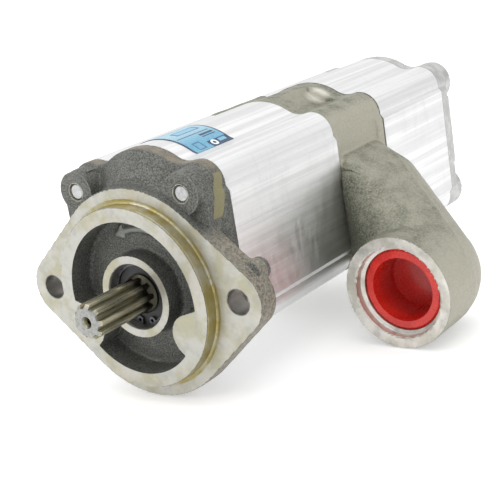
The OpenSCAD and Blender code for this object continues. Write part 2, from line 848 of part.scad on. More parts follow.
backup_strip(y_rear, -1);  // rear_backup_strip_aft
rear_body();
outlet_plug(outlet_ys[1]);  // rear_outlet_plug
color("black") loop_cord(y_rear + cord_d / 2);  // end_cover_seal
end_cover();
dowels(y_cover);  // cover_dowels
dowels(y_front);  // inlet_front_dowels
dowels(y_inlet);  // inlet_rear_dowels
dowels(y_rear);  // end_cover_dowels
lock_washers();
through_bolts();
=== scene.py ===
import math

import bpy
import numpy as np
from mathutils import Matrix, Vector, noise


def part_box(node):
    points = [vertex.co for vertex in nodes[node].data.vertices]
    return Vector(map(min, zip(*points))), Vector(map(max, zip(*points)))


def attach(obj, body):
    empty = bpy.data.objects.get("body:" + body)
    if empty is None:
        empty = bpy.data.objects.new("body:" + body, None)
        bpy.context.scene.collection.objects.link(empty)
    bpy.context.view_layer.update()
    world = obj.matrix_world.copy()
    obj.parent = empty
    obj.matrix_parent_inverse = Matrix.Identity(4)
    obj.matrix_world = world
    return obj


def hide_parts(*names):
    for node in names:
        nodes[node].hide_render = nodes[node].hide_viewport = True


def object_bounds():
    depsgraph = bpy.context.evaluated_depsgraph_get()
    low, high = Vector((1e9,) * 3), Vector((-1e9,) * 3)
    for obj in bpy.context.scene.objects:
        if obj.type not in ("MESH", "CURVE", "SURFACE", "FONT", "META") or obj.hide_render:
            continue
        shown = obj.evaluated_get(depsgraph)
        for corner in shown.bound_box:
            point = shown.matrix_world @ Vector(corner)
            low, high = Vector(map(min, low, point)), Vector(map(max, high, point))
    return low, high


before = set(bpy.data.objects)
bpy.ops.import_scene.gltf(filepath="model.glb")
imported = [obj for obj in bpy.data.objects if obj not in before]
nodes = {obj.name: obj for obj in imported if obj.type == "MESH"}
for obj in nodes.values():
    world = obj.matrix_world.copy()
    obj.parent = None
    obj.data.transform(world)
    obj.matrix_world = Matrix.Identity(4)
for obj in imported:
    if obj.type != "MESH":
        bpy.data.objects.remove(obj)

cad_low, cad_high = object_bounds()


# ---------------------------------------------------------------- front cover
# A grey-iron sand casting: rough, rounded skin outside and in the recess.
# The flange face, pilot, pads and seal boss are turned on a lathe afterwards
# and keep an oily, slightly stained sheen. It bolts to a gearbox by its two ears.

MM = 0.001
PILOT_R = 41.275
PILOT_FACE = -6.35
RECESS_R = PILOT_R - 6.5
BOSS_R = 18.7
BOSS_FACE = -3.8
SEAL_R = 14.5
LUG_R = 9.2
LUG_FACE = 2.8
FLANGE_FACE = 0.0
FLANGE_BACK = 11.0
FLANGE_HOLE_R = 5.55
FLANGE_HOLES = [(-53.2, 0.0), (53.2, 0.0)]
COVER_BACK = 20.0
BOLT_R = 4.0
UPPER_BOLTS = [(-30.06, 45.0), (30.06, 45.0)]
LOWER_BOLTS = [(-30.06, -15.0), (30.06, -15.0)]
IRON_DARK = (0.060, 0.062, 0.055, 1)
IRON_MID = (0.135, 0.138, 0.125, 1)
IRON_LIGHT = (0.28, 0.28, 0.255, 1)
IRON_BEIGE_TOPLIT = (0.27, 0.225, 0.16, 1)
OIL_AND_REFLECTION_BROWN = (0.34, 0.29, 0.12, 1)
TURNED_IRON = (0.47, 0.465, 0.425, 1)


class Finish:
    """One surface finish made of shader nodes, painted in millimetres on the pump's own axes."""

    def __init__(self, name, **sockets):
        self.material = bpy.data.materials.new(name)
        self.material.use_nodes = True
        self.tree = self.material.node_tree
        self.shader = self.tree.nodes["Principled BSDF"]
        for socket, value in sockets.items():
            self.shader.inputs[socket.replace("_", " ")].default_value = value
        self.place = self.add("TexCoord").outputs["Object"]
        self.facing = self.add("TexCoord").outputs["Normal"]
        self.mm = self.vector("MULTIPLY", self.place, (1000, 1000, 1000))
        self.relief = None

    def add(self, kind, **settings):
        node = self.tree.nodes.new("ShaderNode" + kind)
        for name, value in settings.items():
            setattr(node, name, value)
        return node

    def feed(self, socket, value):
        if isinstance(value, bpy.types.NodeSocket):
            self.tree.links.new(value, socket)
        else:
            socket.default_value = value

    def vector(self, how, a, b):
        node = self.add("VectorMath", operation=how)
        self.feed(node.inputs[0], a)
        self.feed(node.inputs[1], b)
        return node.outputs["Vector"]

    def sum(self, how, *terms):
        node = self.add("Math", operation=how)
        for socket, term in zip(node.inputs, terms):
            self.feed(socket, term)
        return node.outputs[0]

    def axis(self, name, source=None):
        node = self.add("SeparateXYZ")
        self.feed(node.inputs[0], source or self.mm)
        return node.outputs[name]

    def mottle(self, size, detail=3.0, stretch=(1, 1, 1), shift=0.0):
        """Uneven patches about size mm across, drawn out along an axis by stretch."""
        field = self.vector("DIVIDE", self.mm, tuple(size * s for s in stretch))
        field = self.vector("ADD", field, (shift, shift, shift))
        node = self.add("TexNoise")
        self.feed(node.inputs["Vector"], field)
        node.inputs["Scale"].default_value = 1.0
        node.inputs["Detail"].default_value = detail
        node.inputs["Roughness"].default_value = 0.6
        return node.outputs[0]

    def step(self, value, low, high, out_low=0.0, out_high=1.0):
        """A soft step: out_low below low, out_high above high."""
        node = self.add("MapRange", interpolation_type="SMOOTHSTEP")
        self.feed(node.inputs[0], value)
        for socket, v in zip(list(node.inputs)[1:5], (low, high, out_low, out_high)):
            socket.default_value = v
        return node.outputs[0]

    def band(self, value, low, high, soft):
        """1 between low and high, fading to 0 over soft mm outside."""
        rise = self.step(value, low - soft, low)
        fall = self.step(value, high, high + soft, 1.0, 0.0)
        return self.sum("MULTIPLY", rise, fall)

    def mix(self, share, a, b):
        node = self.add("Mix", data_type="RGBA")
        self.feed(node.inputs[0], share)
        self.feed(node.inputs[6], a)
        self.feed(node.inputs[7], b)
        return node.outputs[2]

    def blend_number(self, share, a, b):
        node = self.add("Mix", data_type="FLOAT")
        for socket, value in zip(list(node.inputs)[:1] + list(node.inputs)[2:4], (share, a, b)):
            self.feed(socket, value)
        return node.outputs[0]

    def radius(self, x, z):
        """Distance in mm from the line along Y through x, z."""
        moved = self.vector("SUBTRACT", self.mm, (x, 0, z))
        flat = self.vector("MULTIPLY", moved, (1, 0, 1))
        node = self.add("VectorMath", operation="LENGTH")
        self.feed(node.inputs[0], flat)
        return node.outputs["Value"]

    def plane(self, axis, at, side):
        """1 on the machined plane at that place along the axis, facing that side."""
        near = self.band(self.axis(axis), at - 0.2, at + 0.2, 0.15)
        turned = self.sum("MULTIPLY", self.axis(axis, self.facing), side)
        return self.sum("MULTIPLY", near, self.step(turned, 0.55, 0.85))

    def either(self, *masks):
        total = masks[0]
        for mask in masks[1:]:
            total = self.sum("MAXIMUM", total, mask)
        return total

    def bump(self, height, depth, strength=1.0):
        """Adds surface relief; depth is in mm."""
        node = self.add("Bump")
        node.inputs["Strength"].default_value = strength
        node.inputs["Distance"].default_value = depth * MM
        self.feed(node.inputs["Height"], height)
        if self.relief:
            self.feed(node.inputs["Normal"], self.relief)
        self.relief = node.outputs[0]

    def done(self, colour, rough, metal=None):
        self.feed(self.shader.inputs["Base Color"], colour)
        self.feed(self.shader.inputs["Roughness"], rough)
        if metal is not None:
            self.feed(self.shader.inputs["Metallic"], metal)
        if self.relief:
            self.feed(self.shader.inputs["Normal"], self.relief)
        return self.material


def sand_cast(paint, skin, dark, mid, light, grain=0.5):
    """The skin a sand mould leaves on iron, where skin is 1: grains of light and dark, with painted shade in
    the hollows and lighter outward edges.
    """
    grains = paint.mottle(grain, 4)
    clouds = paint.mottle(8.0, 4, shift=5)
    speck = paint.mottle(grain * 0.6, 2, shift=9)
    colour = paint.mix(paint.step(grains, 0.42, 0.58), dark, mid)
    colour = paint.mix(paint.step(speck, 0.55, 0.72, 0, 0.85), colour, light)
    colour = paint.mix(paint.step(clouds, 0.45, 0.8, 0, 0.22), colour, light)
    # Painted shade: hollows in the mesh are darkened, and outward edges are made lighter.
    corner = paint.add("Attribute", attribute_name="hollow").outputs["Fac"]
    hollow_shade = (dark[0] * 0.4, dark[1] * 0.4, dark[2] * 0.4, 1)
    colour = paint.mix(paint.step(corner, 0.10, 0.55, 0, 0.65), colour, hollow_shade)
    colour = paint.mix(paint.step(corner, -0.65, -0.15, 0.45, 0), colour, light)
    paint.bump(paint.sum("MULTIPLY", grains, skin), 0.28, 1.0)
    paint.bump(paint.sum("MULTIPLY", clouds, skin), 0.6, 0.4)
    return colour, paint.step(grains, 0.3, 0.7, 0.60, 0.44)


def lathe_turned(paint, faced, base, stain, x, z):
    """A face cut on a lathe about x, z, where faced is 1: fine rings and cloudy oil stains."""
    rings = paint.sum("SINE", paint.sum("MULTIPLY", paint.radius(x, z), 2 * math.pi / 0.42))
    wobble = paint.mottle(2.2, 3)
    clouds = paint.mottle(11.0, 4, shift=3)
    colour = paint.mix(paint.step(clouds, 0.42, 0.62, 0, 0.8), base, stain)
    worn = paint.step(paint.mottle(6.0, 4, shift=11), 0.46, 0.72, 0, 0.6)
    colour = paint.mix(worn, colour, (0.34, 0.34, 0.32, 1))
    blush = paint.step(paint.mottle(13.0, 3, shift=23), 0.50, 0.68, 0, 0.35)
    colour = paint.mix(blush, colour, (0.55, 0.50, 0.43, 1))
    paint.bump(paint.sum("MULTIPLY", rings, faced), 0.012, 0.5)
    return colour, paint.step(wobble, 0.3, 0.7, 0.30, 0.46)


SNAP = 0.45  # how far in mm the grid may stray from a machined face


def flat(axis, at, side, where=None):
    """A machined plane: axis 0, 1 or 2, its place in mm, and the side it faces."""

    def find(co, no):
        hit = (np.abs(co[:, axis] - at) < SNAP) & (no[:, axis] * side > 0.5)
        if where is not None:
            hit &= where(co)
        co[hit, axis] = at
        return hit

    return find


def bored(x, z, r, y0, y1, side, mouth=0.0):
    """A machined bore (side -1) or spigot (side 1) along Y, with a chamfer of mouth mm at y0."""

    def find(co, no):
        dx, dz = co[:, 0] - x, co[:, 2] - z
        rr = np.maximum(np.hypot(dx, dz), 1e-6)
        out = (no[:, 0] * dx + no[:, 2] * dz) / rr
        true = r + np.clip(mouth - (co[:, 1] - y0), 0, mouth)
        hit = (np.abs(rr - true) < SNAP) & (co[:, 1] > y0 - 0.3) & (co[:, 1] < y1 + 0.3)
        hit &= (out * side > 0.5) | ((true > r) & (no[:, 1] < 0))
        co[hit, 0] = x + (dx * true / rr)[hit]
        co[hit, 2] = z + (dz * true / rr)[hit]
        return hit

    return find


def casting(node, name, grid, machined, finish, rounding=8, swell=0.12, ridge=None):
    """A cast piece: the solid's mesh on a fine grid, its edges rounded as a mould leaves them and
    its skin uneven, with every machined face put back exactly to size."""
    low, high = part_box(node)
    source = nodes[node].data.copy()
    raw = bpy.data.objects.new(name + "_raw", source)
    bpy.context.scene.collection.objects.link(raw)
    weld = raw.modifiers.new("weld", "WELD")
    weld.merge_threshold = 0.00001
    grid_step = raw.modifiers.new("grid", "REMESH")
    grid_step.mode = "VOXEL"
    grid_step.voxel_size = grid * MM
    mesh = bpy.data.meshes.new_from_object(raw.evaluated_get(bpy.context.evaluated_depsgraph_get()))
    bpy.data.objects.remove(raw)
    mesh.name = name
    count = len(mesh.vertices)
    co = np.empty(count * 3)
    mesh.vertices.foreach_get("co", co)
    co = co.reshape(-1, 3) / MM
    no = np.empty(count * 3)
    mesh.vertex_normals.foreach_get("vector", no)
    no = no.reshape(-1, 3)
    edge = np.empty(len(mesh.edges) * 2, np.int64)
    mesh.edges.foreach_get("vertices", edge)
    a, b = edge.reshape(-1, 2).T
    fixed = np.zeros(count, bool)
    for find in machined:
        fixed |= find(co, no)
    neighbours = np.bincount(a, minlength=count) + np.bincount(b, minlength=count)

    def eased(co):
        mean = [np.bincount(a, co[b, k], count) + np.bincount(b, co[a, k], count) for k in range(3)]
        return co + 0.55 * (np.stack(mean, 1) / neighbours[:, None] - co)

    free = ~fixed
    worn = co
    for _ in range(10):
        worn = eased(worn)
    hollow = ((worn - co) * no).sum(1)
    for _ in range(rounding):
        co[free] = eased(co)[free]
    rest = free.astype(float)
    for _ in range(3):
        rest = np.minimum(rest, (np.bincount(a, rest[b], count) + np.bincount(b, rest[a], count)) / neighbours)
    if ridge is not None:
        co += no * (ridge(co) * rest)[:, None]
    for i in np.nonzero(free)[0]:
        p = Vector(co[i])
        lift = noise.noise(p / 6.0) * swell + noise.noise(p / 1.7) * swell * 0.3
        co[i] += no[i] * (lift * rest[i])
    co = np.clip(co, np.array(low) / MM, np.array(high) / MM)
    mesh.vertices.foreach_set("co", (co * MM).ravel())
    mesh.attributes.new("hollow", "FLOAT", "POINT").data.foreach_set("value", hollow.astype(np.float32))
    mesh.materials.clear()
    mesh.materials.append(finish)
    mesh.polygons.foreach_set("use_smooth", np.ones(len(mesh.polygons), bool))
    mesh.update()
    mesh.set_sharp_from_angle(angle=math.radians(42))
    piece = bpy.data.objects.new(name, mesh)
    bpy.context.scene.collection.objects.link(piece)
    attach(piece, "housing")
    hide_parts(node)
    return piece


paint = Finish("front_cover_iron")
x, y, z, r = paint.axis("X"), paint.axis("Y"), paint.axis("Z"), paint.radius(0, 0)
front = paint.step(paint.axis("Y", paint.facing), -0.75, -0.35)
flange_face = paint.sum("MULTIPLY", paint.plane("Y", FLANGE_FACE, -1), paint.step(r, 43.0, 43.3))
boss_face = paint.sum("MULTIPLY", paint.plane("Y", BOSS_FACE, -1), paint.step(r, 19.4, 19.7, 1, 0))
pilot_face = paint.plane("Y", PILOT_FACE, -1)
pilot_wall = paint.sum("MULTIPLY", paint.band(r, 41.0, 43.2, 0.15), paint.band(y, -6.0, 0.5, 0.3))
seal_bore = paint.sum("MULTIPLY", paint.step(r, 14.8, 15.0, 1, 0), paint.step(y, -3.9, -3.7))
holes = [paint.step(paint.radius(a, b), 5.9, 6.1, 1, 0) for a, b in FLANGE_HOLES]
bolt_holes = [paint.step(paint.radius(a, b), 4.2, 4.35, 1, 0) for a, b in UPPER_BOLTS]
faced = paint.either(flange_face, pilot_face, boss_face, pilot_wall, seal_bore, *holes, *bolt_holes)
skin = paint.sum("SUBTRACT", 1.0, faced)
cast_colour, cast_rough = sand_cast(paint, skin, IRON_DARK, IRON_MID, IRON_LIGHT, 0.75)
# Beige patches on the upward faces of the crown rim: partly a beige film on the iron, partly painted top
# light.
up = paint.step(paint.axis("Z", paint.facing), 0.3, 0.8)
outside = paint.step(y, 13.2, 14.6)
patches = paint.step(paint.mottle(7, 3, shift=7), 0.35, 0.65, 0.15, 0.7)
film = paint.sum("MULTIPLY", paint.sum("MULTIPLY", up, outside), patches)
cast_colour = paint.mix(film, cast_colour, IRON_BEIGE_TOPLIT)
lean = paint.sum("SUBTRACT", y, paint.sum("MULTIPLY", z, 0.36))
column = paint.sum("MULTIPLY", paint.step(x, 36.5, 37.5), paint.band(z, 33.0, 50.0, 1.0))
column = paint.sum("MULTIPLY", column, paint.band(lean, -3.4, 1.4, 0.3))
cast_colour = paint.mix(paint.sum("MULTIPLY", column, 0.85), cast_colour, (0.25, 0.23, 0.12, 1))
crest = paint.sum("MULTIPLY", paint.band(y, 4.55, 5.1, 0.25), paint.band(r, 22.0, 33.0, 0.3))
cast_colour = paint.mix(paint.sum("MULTIPLY", crest, 0.7), cast_colour, (0.30, 0.31, 0.29, 1))
# The flange's outer edge below the lugs, facing front: rubbed wear with a painted highlight, in speckled
# beige.
rim_wear_and_highlight = paint.sum("MULTIPLY", front, paint.step(r, 46.0, 47.5))
rim_wear_and_highlight = paint.sum("MULTIPLY", paint.band(y, 0.3, 11.2, 0.3), rim_wear_and_highlight)
rim_wear_and_highlight = paint.sum("MULTIPLY", rim_wear_and_highlight, paint.step(z, 22.0, 32.0, 1.0, 0.0))
worn = paint.sum("MULTIPLY", rim_wear_and_highlight, paint.step(paint.mottle(1.3, 5, shift=21), 0.36, 0.66, 0.1, 0.7))
cast_colour = paint.mix(worn, cast_colour, (0.36, 0.31, 0.225, 1))
turned_colour, turned_rough = lathe_turned(paint, faced, TURNED_IRON, (0.38, 0.36, 0.25, 1), 0, 0)
# The pilot wall browned in patches: oil stain together with a painted brown reflection and shade.
oily = paint.sum("MULTIPLY", pilot_wall, paint.step(paint.mottle(9, 3, shift=2), 0.35, 0.6, 0.35, 1.0))
turned_colour = paint.mix(oily, turned_colour, OIL_AND_REFLECTION_BROWN)
# Painted shade: the seal bore and the flange holes are darkened.
turned_colour = paint.mix(paint.either(seal_bore, *holes), turned_colour, (0.22, 0.21, 0.19, 1))
cover_iron = paint.done(
    paint.mix(faced, cast_colour, turned_colour),
    paint.blend_number(faced, cast_rough, turned_rough),
    paint.step(faced, 0.0, 1.0, 0.35, 0.8))

casting(
    "front_cover", "front_cover_casting", 0.6,
    [
        flat(1, FLANGE_FACE, -1, lambda p: np.hypot(p[:, 0], p[:, 2]) > PILOT_R + 1.6),
        flat(1, PILOT_FACE, -1),
        flat(1, BOSS_FACE, -1, lambda p: np.hypot(p[:, 0], p[:, 2]) < 19.2),
        flat(1, COVER_BACK, 1),
        flat(1, LUG_FACE, -1, lambda p: (np.abs(p[:, 0]) > 18) & (p[:, 2] > 34)),
        *[bored(x, z, LUG_R, LUG_FACE, 5.0, 1) for x, z in UPPER_BOLTS],
        bored(0, 0, PILOT_R, -6.0, FLANGE_FACE, 1),
        bored(0, 0, SEAL_R, BOSS_FACE, 12.0, -1, 0.8),
        bored(0, 0, RECESS_R, PILOT_FACE, -5.2, -1),
        bored(0, 0, BOSS_R, BOSS_FACE, -2.6, 1),
        *[bored(x, z, FLANGE_HOLE_R, FLANGE_FACE, FLANGE_BACK, -1) for x, z in FLANGE_HOLES],
        *[bored(x, z, BOLT_R, FLANGE_FACE, COVER_BACK, -1) for x, z in UPPER_BOLTS + LOWER_BOLTS],
    ],
    cover_iron, rounding=5, swell=0.08,
)


# ---------------------------------------------------------------- shaft seal, snap ring and spring
# A nitrile lip seal pressed into the boss, held by a sprung steel ring in a groove.
# A garter spring behind the lip keeps it on the shaft.


def rubber(name, tone=0.018):
    """Moulded black rubber: dull, with a faint bloom."""
    paint = Finish(name, IOR=1.52)
    bloom = paint.mottle(2.5, 4)
    colour = paint.mix(paint.step(bloom, 0.4, 0.75), (tone, tone, tone * 1.1, 1), (tone * 2.4,) * 3 + (1,))
    paint.bump(paint.mottle(0.3, 2), 0.03, 0.6)
    return paint.done(colour, paint.step(bloom, 0.3, 0.7, 0.42, 0.6))


def steel(name, base, shade, grain=(1, 1, 1), rough=0.3, size=0.6, metallic=1.0):
    """Bare or plated steel with machining grain drawn out along an axis."""
    paint = Finish(name, Metallic=metallic)
    fine = paint.mottle(size, 3, stretch=grain)
    cloud = paint.mottle(size * 9, 3, shift=4)
    colour = paint.mix(paint.step(cloud, 0.35, 0.7), base, shade)
    paint.bump(fine, 0.03, 0.5)
    return paint.done(colour, paint.step(fine, 0.25, 0.75, rough, rough + 0.2))


def give(material, *names):
    """Puts a finish on solids that keep their own mesh."""
    for name in names:
        mesh = nodes[name].data
        for i in range(max(1, len(mesh.materials))):
            if mesh.materials:
                mesh.materials[i] = material
            else:
                mesh.materials.append(material)


seal_rubber = rubber("nitrile_seal_rubber")
spring_steel = steel("oiled_spring_steel", (0.16, 0.16, 0.17, 1), (0.07, 0.07, 0.08, 1), rough=0.34)
give(seal_rubber, "shaft_seal")
give(spring_steel, "seal_snap_ring", "seal_spring")


# ---------------------------------------------------------------- drive shaft and gears
# Shaft and front drive gear are cut from one bar of case-hardened steel. The splined end is
# given the nine teeth usual at this size, dark oil in the roots and a centre drilling.
# The other gears are made the same way; a splined sleeve joins the two sections.

SHAFT_END = -35.0
SPLINE_CREST = 7.94

paint = Finish("oiled_hardened_shaft", Metallic=0.9)
r = paint.radius(0, 0)
y = paint.axis("Y")
draw = paint.mottle(0.9, 4, stretch=(1, 22, 1))
cloud = paint.mottle(6, 3, shift=6)
colour = paint.mix(paint.step(draw, 0.35, 0.68), (0.34, 0.325, 0.235, 1), (0.52, 0.50, 0.385, 1))
colour = paint.mix(paint.step(cloud, 0.48, 0.7, 0, 0.6), colour, (0.36, 0.27, 0.15, 1))
root = paint.step(r, SPLINE_CREST - 1.5, SPLINE_CREST - 0.6, 1.0, 0.0)
root = paint.sum("MULTIPLY", root, paint.step(y, SHAFT_END + 0.6, SHAFT_END + 1.4))
colour = paint.mix(paint.sum("MULTIPLY", root, 0.7), colour, (0.15, 0.14, 0.085, 1))
face = paint.step(y, SHAFT_END + 0.2, SHAFT_END + 0.9, 1.0, 0.0)
face_patches = paint.step(paint.mottle(1.6, 4, shift=8), 0.3, 0.7)
face_tone = paint.mix(face_patches, (0.26, 0.265, 0.26, 1), (0.38, 0.38, 0.355, 1))
colour = paint.mix(face, colour, face_tone)
# Painted shade: the shaft darkens almost to black as it goes into the seal boss.
painted_shade_by_seal = paint.step(y, -8.0, -3.5, 0.0, 0.96)
colour = paint.mix(painted_shade_by_seal, colour, (0.035, 0.032, 0.022, 1))
paint.bump(draw, 0.05, 0.6)
rings = paint.sum("SINE", paint.sum("MULTIPLY", r, 2 * math.pi / 0.5))
paint.bump(paint.sum("MULTIPLY", rings, face), 0.02, 0.5)
give(paint.done(colour, paint.step(draw, 0.3, 0.7, 0.24, 0.46)), "drive_shaft")
gear_steel = steel("ground_gear_steel", (0.52, 0.52, 0.52, 1), (0.40, 0.40, 0.41, 1), (1, 12, 1), 0.2)
give(gear_steel, "front_idler_gear", "rear_drive_gear", "rear_idler_gear", "coupling_sleeve")


# ---------------------------------------------------------------- bearing blocks, bushes and their seals
# Pressure die-cast aluminium blocks with bronze-lined bushes pressed in. The gallery side
# of each block carries a moulded rubber seal with a stiff nylon strip behind it.

block_paint = Finish("diecast_bearing_block", Metallic=1.0)
flow = block_paint.mottle(3.0, 4)
tone = block_paint.mix(block_paint.step(flow, 0.35, 0.7), (0.60, 0.60, 0.61, 1), (0.72, 0.72, 0.72, 1))
block_paint.bump(block_paint.mottle(0.5, 3), 0.04, 0.5)
block_finish = block_paint.done(tone, block_paint.step(flow, 0.3, 0.7, 0.35, 0.5))
bronze = steel("bush_bronze", (0.55, 0.34, 0.15, 1), (0.44, 0.29, 0.16, 1), rough=0.3)
nylon_paint = Finish("backup_strip_nylon", IOR=1.5)
grain = nylon_paint.mottle(0.8, 3)
tone = nylon_paint.mix(grain, (0.55, 0.53, 0.46, 1), (0.66, 0.64, 0.56, 1))
nylon_paint.bump(grain, 0.02, 0.5)
nylon = nylon_paint.done(tone, nylon_paint.step(grain, 0.3, 0.7, 0.4, 0.55))
for section in ("front", "rear"):
    for end in ("fore", "aft"):
        give(block_finish, f"{section}_block_{end}")
        give(seal_rubber, f"{section}_pressure_seal_{end}")
        give(nylon, f"{section}_backup_strip_{end}")
    give(bronze, *[f"{section}_bush_{i}" for i in (1, 2, 3, 4)])
give(seal_rubber, "cover_seal", "inlet_front_seal", "inlet_rear_seal", "end_cover_seal")
give(steel("ground_dowel_steel", (0.58, 0.58, 0.58, 1), (0.48, 0.48, 0.49, 1), rough=0.22),
     "cover_dowels", "inlet_front_dowels", "inlet_rear_dowels", "end_cover_dowels")


# ---------------------------------------------------------------- pump bodies
# Each body is sawn from an extruded aluminium bar, so fine die lines run its whole length,
# and its ends are milled flat. The two are the same section and differ only in length.

body_paint = Finish("extruded_aluminium", Metallic=1.0)
lines = body_paint.mottle(0.32, 3, stretch=(1, 260, 1))
broad = body_paint.mottle(2.6, 3, stretch=(1, 60, 1), shift=7)
smears = body_paint.mottle(5.0, 4, stretch=(1, 0.7, 2.6), shift=13)
tone = body_paint.mix(body_paint.step(broad, 0.35, 0.7), (0.70, 0.70, 0.705, 1), (0.84, 0.84, 0.84, 1))
tone = body_paint.mix(body_paint.step(smears, 0.52, 0.8, 0, 0.35), tone, (0.66, 0.65, 0.64, 1))
scratches = body_paint.step(body_paint.mottle(0.5, 2, stretch=(1, 3.2, 9), shift=17), 0.72, 0.78, 0, 0.4)
tone = body_paint.mix(scratches, tone, (0.45, 0.44, 0.44, 1))
along = body_paint.axis("Y")
seam = body_paint.either(
    body_paint.band(along, 105.75, 106.2, 0.1),
    body_paint.band(along, 214.2, 214.7, 0.1),
    body_paint.band(along, 150.3, 150.75, 0.1))
tone = body_paint.mix(body_paint.sum("MULTIPLY", seam, 0.7), tone, (0.10, 0.10, 0.10, 1))
body_paint.bump(lines, 0.07, 0.8)
body_paint.bump(broad, 0.16, 0.6)
extruded = body_paint.done(tone, body_paint.step(smears, 0.3, 0.75, 0.40, 0.52))
give(extruded, "front_body", "rear_body")


# ---------------------------------------------------------------- inlet housing and suction elbow
# One hollow casting joins the two bodies and feeds both from a single swept elbow.
# Its skin is a speckled grey with a parting line along the elbow, painted lighter on its upward faces and +X
# side where light falls and with a painted highlight on top; its joint planes and the port mouth are machined.

PORT = (82.06, -22.0)
PORT_FACE = 77.0
PORT_RING_R = 26.4
MOUTH_R = 21.2
MOUTH_END = PORT_FACE + 4.5
THREAD_R = 19.5
THREAD_END = PORT_FACE + 24.5
INLET_FRONT = 106.0
INLET_BACK = 150.5

paint = Finish("inlet_housing_iron")
on_ring = paint.step(paint.radius(*PORT), 26.3, 26.5, 1, 0)
port_bore = paint.step(paint.radius(*PORT), 21.5, 21.7, 1, 0)
port_bore = paint.sum("MULTIPLY", port_bore, paint.step(paint.axis("Y"), 76.9, 77.1))
faced = paint.either(paint.sum("MULTIPLY", paint.plane("Y", PORT_FACE, -1), on_ring), port_bore)
skin = paint.sum("SUBTRACT", 1.0, faced)
cast_colour, cast_rough = sand_cast(
    paint, skin, (0.075, 0.078, 0.055, 1), (0.155, 0.158, 0.115, 1), (0.36, 0.355, 0.29, 1), 1.1)
# Painted top light: upward faces are lightened in patches.
up = paint.step(paint.axis("Z", paint.facing), 0.2, 0.9)
toplit_patches = paint.sum("MULTIPLY", up, paint.step(paint.mottle(9, 3, shift=7), 0.3, 0.65, 0.15, 0.6))
cast_colour = paint.mix(toplit_patches, cast_colour, (0.36, 0.35, 0.28, 1))
# Painted light: faces turned towards +X are lighter, as the lit side.
lit_flank = paint.step(paint.axis("X", paint.facing), 0.35, 0.95, 0.0, 0.75)
cast_colour = paint.mix(lit_flank, cast_colour, (0.46, 0.44, 0.36, 1))
# A painted highlight: a bright oval on the top of the housing behind the dome.
highlight_at = paint.vector("SUBTRACT", paint.mm, (12.0, 140.5, 57.5))
highlight_size = paint.add("VectorMath", operation="LENGTH")
paint.feed(highlight_size.inputs[0], paint.vector("DIVIDE", highlight_at, (8.0, 6.0, 5.0)))
painted_highlight = paint.step(highlight_size.outputs["Value"], 0.4, 1.1, 0.85, 0.0)
cast_colour = paint.mix(painted_highlight, cast_colour, (0.66, 0.64, 0.57, 1))
turned_colour, turned_rough = lathe_turned(paint, faced, (0.72, 0.70, 0.65, 1), (0.52, 0.50, 0.43, 1), *PORT)
inlet_iron = paint.done(
    paint.mix(faced, cast_colour, turned_colour),
    paint.blend_number(faced, cast_rough, turned_rough),
    paint.step(faced, 0.0, 1.0, 0.35, 0.8))


def on_port(reach):
    return lambda p: np.hypot(p[:, 0] - PORT[0], p[:, 2] - PORT[1]) < reach


def parting_line(co):
    """The seam of the two mould halves, a low ridge that crosses the elbow from root to port."""
    off = (0.74 * co[:, 0] + co[:, 1] - 178.0) / 1.5
    along = np.clip((co[:, 0] - 50.0) / 6.0, 0, 1) * np.clip((co[:, 2] + 16.0) / 5.0, 0, 1)
    return 0.55 * np.exp(-off * off) * along


casting(
    "inlet_housing", "inlet_housing_casting", 0.7,
    [
        flat(1, INLET_FRONT, -1), flat(1, INLET_BACK, 1),
        flat(1, PORT_FACE, -1, on_port(27.5)),
        bored(*PORT, PORT_RING_R, PORT_FACE, PORT_FACE + 1.2, 1),
        bored(*PORT, MOUTH_R, PORT_FACE, MOUTH_END, -1),
        bored(*PORT, THREAD_R, MOUTH_END, THREAD_END, -1),
    ],
    inlet_iron, rounding=7, ridge=parting_line,
)


# ---------------------------------------------------------------- plastic port plugs
# Injection-moulded polyethylene cups, bright red and glossy, pushed into the ports
# so that no dirt gets in before the pipes go on. They pull straight out.

plug_paint = Finish("red_polyethylene", IOR=1.5)
plug_paint.shader.inputs["Coat Weight"].default_value = 0.35
plug_paint.shader.inputs["Coat Roughness"].default_value = 0.12
flow = plug_paint.mottle(7.0, 3)
scuff = plug_paint.mottle(0.8, 3, stretch=(1, 5, 1), shift=3)
tone = plug_paint.mix(plug_paint.step(flow, 0.3, 0.7), (0.56, 0.012, 0.007, 1), (0.70, 0.026, 0.014, 1))
# Painted shade: the cup is darker deeper inside the port.
depth = plug_paint.step(plug_paint.axis("Y"), 84.0, 97.0, 0.0, 0.6)
depth = plug_paint.sum("MULTIPLY", depth, plug_paint.step(plug_paint.axis("X"), 40.0, 50.0))
tone = plug_paint.mix(depth, tone, (0.28, 0.005, 0.003, 1))
plug_paint.bump(scuff, 0.02, 0.4)
plug_paint.bump(flow, 0.15, 0.3)
give(plug_paint.done(tone, plug_paint.step(scuff, 0.35, 0.75, 0.22, 0.36)),
     "suction_plug", "front_outlet_plug", "rear_outlet_plug")


# ---------------------------------------------------------------- end cover
# An aluminium casting with a boss at each corner for the bolt heads and a raised,
# machined pad in the middle. It closes the rear section.

END_FRONT = 214.5
END_PAD = 229.0
BOLT_HEAD_R = 6.95

